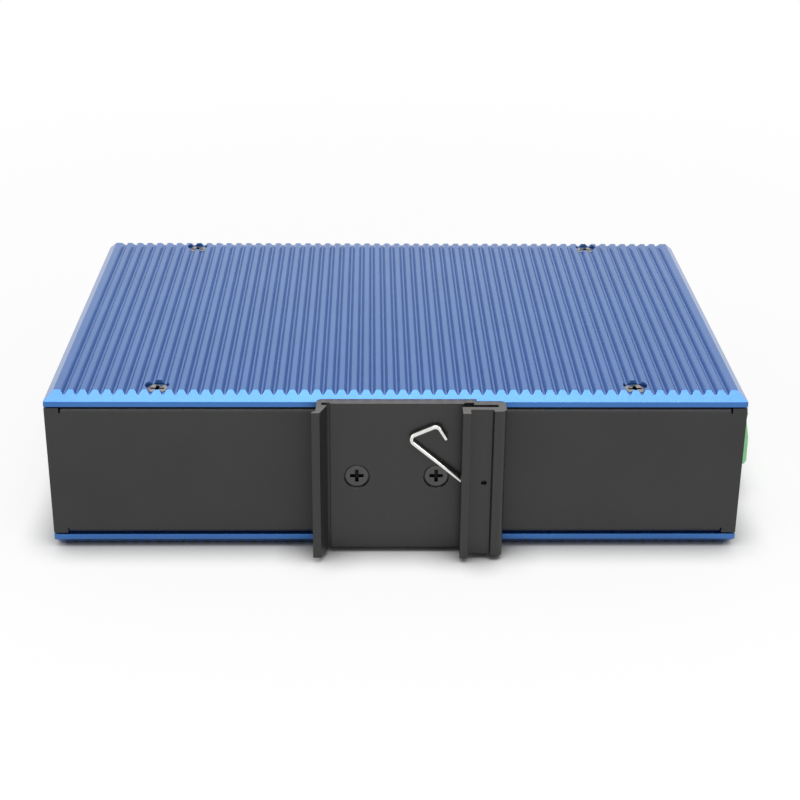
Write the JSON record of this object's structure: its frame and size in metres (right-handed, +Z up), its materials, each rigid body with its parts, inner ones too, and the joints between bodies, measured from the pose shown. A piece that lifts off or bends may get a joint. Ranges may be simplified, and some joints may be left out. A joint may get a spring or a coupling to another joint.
{
  "type": "din rail ethernet switch",
  "caption": "Industrial network switch: black sheet housing between blue finned covers, with rail clip and wire spring, jacks, module slots and green power plug.",
  "frame": {"origin": "under the middle of the housing, in the plane of the lower cover's ridges on which the switch lies", "axes": "+X towards the power terminal, which is up when mounted; +Y towards the ports; +Z up off the cover it lies on"},
  "size_m": [0.173, 0.12, 0.0408],
  "materials": {
    "blue_anodised": "satin blue anodised, milled fins",
    "black_powder_coat": "satin black powder coat on sheet steel",
    "black_anodised": "black anodised extrusion with sawn ends",
    "black_screw": "black oxide",
    "zinc_steel": "bright zinc plated",
    "brass": "plain",
    "spring_steel": "bright drawn spring wire",
    "board_laminate": "green solder mask",
    "jack_body": "nickel plated shield over black moulding",
    "cage_steel": "tin plated sheet",
    "light_pipe": "clear",
    "black_moulding": "moulded",
    "thermal_pad": "soft",
    "plain_aluminium": "machined",
    "green_plastic": "moulded polyamide",
    "tinned_contact": "tin plated",
    "clamp_steel": "zinc plated"
  },
  "bodies": {
    "switch_body": {"board_posts": "brass", "board_screws": "zinc_steel", "bottom_cover": "blue_anodised", "bottom_cover_screws": "zinc_steel", "capacitors": "plain_aluminium", "clinch_nuts": "zinc_steel", "clip_nuts": "zinc_steel", "clip_screws": "black_screw", "cpu_chip": "black_moulding", "cpu_pad": "thermal_pad", "din_clip": "black_anodised", "front_panel": "black_powder_coat", "header_pins": "tinned_contact", "heat_block": "plain_aluminium", "housing": "black_powder_coat", "jack_stack_1": "jack_body", "jack_stack_2": "jack_body", "jack_stack_3": "jack_body", "jack_stack_4": "jack_body", "light_pipes": "light_pipe", "main_board": "board_laminate", "module_cage_1": "cage_steel", "module_cage_2": "cage_steel", "module_cage_3": "cage_steel", "module_cage_4": "cage_steel", "panel_nuts": "zinc_steel", "panel_screws": "zinc_steel", "power_coil": "black_moulding", "switch_chip": "black_moulding", "terminal_header": "green_plastic", "thermal_pad": "thermal_pad", "top_cover": "blue_anodised", "top_cover_screws": "zinc_steel"},
    "rail_spring": {"rail_spring": "spring_steel"},
    "terminal_plug": {"terminal_plug": "green_plastic", "plug_contacts": "tinned_contact"},
    "clamp_screw_1": {"clamp_screw_1": "clamp_steel"},
    "clamp_cage_1": {"clamp_cage_1": "clamp_steel"},
    "clamp_screw_2": {"clamp_screw_2": "clamp_steel"},
    "clamp_cage_2": {"clamp_cage_2": "clamp_steel"},
    "clamp_screw_3": {"clamp_screw_3": "clamp_steel"},
    "clamp_cage_3": {"clamp_cage_3": "clamp_steel"},
    "clamp_screw_4": {"clamp_screw_4": "clamp_steel"},
    "clamp_cage_4": {"clamp_cage_4": "clamp_steel"},
    "clamp_screw_5": {"clamp_screw_5": "clamp_steel"},
    "clamp_cage_5": {"clamp_cage_5": "clamp_steel"},
    "clamp_screw_6": {"clamp_screw_6": "clamp_steel"},
    "clamp_cage_6": {"clamp_cage_6": "clamp_steel"}
  },
  "joints": [
    {"name": "spring_swing", "type": "hinge", "parent": "switch_body", "child": "rail_spring", "pos_m": [0.0205, -0.05885, 0.0204], "axis": [0, 1, 0], "range_deg": [0, 45], "stiffness_Nm_per_rad": 0.05},
    {"name": "plug_slide", "type": "slide", "parent": "switch_body", "child": "terminal_plug", "axis": [1, 0, 0], "range_m": [0, 0.015]},
    {"name": "clamp_screw_turn_1", "type": "hinge", "parent": "terminal_plug", "child": "clamp_screw_1", "pos_m": [0.086, -0.02366, 0.0204], "axis": [0, 0, 1], "range_deg": [0, 1440]},
    {"name": "clamp_cage_drop_1", "type": "slide", "parent": "terminal_plug", "child": "clamp_cage_1", "axis": [0, 0, -1], "range_m": [0, 0.002]},
    {"name": "clamp_screw_turn_2", "type": "hinge", "parent": "terminal_plug", "child": "clamp_screw_2", "pos_m": [0.086, -0.01858, 0.0204], "axis": [0, 0, 1], "range_deg": [0, 1440]},
    {"name": "clamp_cage_drop_2", "type": "slide", "parent": "terminal_plug", "child": "clamp_cage_2", "axis": [0, 0, -1], "range_m": [0, 0.002]},
    {"name": "clamp_screw_turn_3", "type": "hinge", "parent": "terminal_plug", "child": "clamp_screw_3", "pos_m": [0.086, -0.0135, 0.0204], "axis": [0, 0, 1], "range_deg": [0, 1440]},
    {"name": "clamp_cage_drop_3", "type": "slide", "parent": "terminal_plug", "child": "clamp_cage_3", "axis": [0, 0, -1], "range_m": [0, 0.002]},
    {"name": "clamp_screw_turn_4", "type": "hinge", "parent": "terminal_plug", "child": "clamp_screw_4", "pos_m": [0.086, -0.00842, 0.0204], "axis": [0, 0, 1], "range_deg": [0, 1440]},
    {"name": "clamp_cage_drop_4", "type": "slide", "parent": "terminal_plug", "child": "clamp_cage_4", "axis": [0, 0, -1], "range_m": [0, 0.002]},
    {"name": "clamp_screw_turn_5", "type": "hinge", "parent": "terminal_plug", "child": "clamp_screw_5", "pos_m": [0.086, -0.00334, 0.0204], "axis": [0, 0, 1], "range_deg": [0, 1440]},
    {"name": "clamp_cage_drop_5", "type": "slide", "parent": "terminal_plug", "child": "clamp_cage_5", "axis": [0, 0, -1], "range_m": [0, 0.002]},
    {"name": "clamp_screw_turn_6", "type": "hinge", "parent": "terminal_plug", "child": "clamp_screw_6", "pos_m": [0.086, 0.00174, 0.0204], "axis": [0, 0, 1], "range_deg": [0, 1440]},
    {"name": "clamp_cage_drop_6", "type": "slide", "parent": "terminal_plug", "child": "clamp_cage_6", "axis": [0, 0, -1], "range_m": [0, 0.002]}
  ],
  "couplings": [
    {"joint": "clamp_screw_turn_1", "follows": "clamp_cage_drop_1", "rad_per_m": 12566},
    {"joint": "clamp_screw_turn_2", "follows": "clamp_cage_drop_2", "rad_per_m": 12566},
    {"joint": "clamp_screw_turn_3", "follows": "clamp_cage_drop_3", "rad_per_m": 12566},
    {"joint": "clamp_screw_turn_4", "follows": "clamp_cage_drop_4", "rad_per_m": 12566},
    {"joint": "clamp_screw_turn_5", "follows": "clamp_cage_drop_5", "rad_per_m": 12566},
    {"joint": "clamp_screw_turn_6", "follows": "clamp_cage_drop_6", "rad_per_m": 12566}
  ]
}
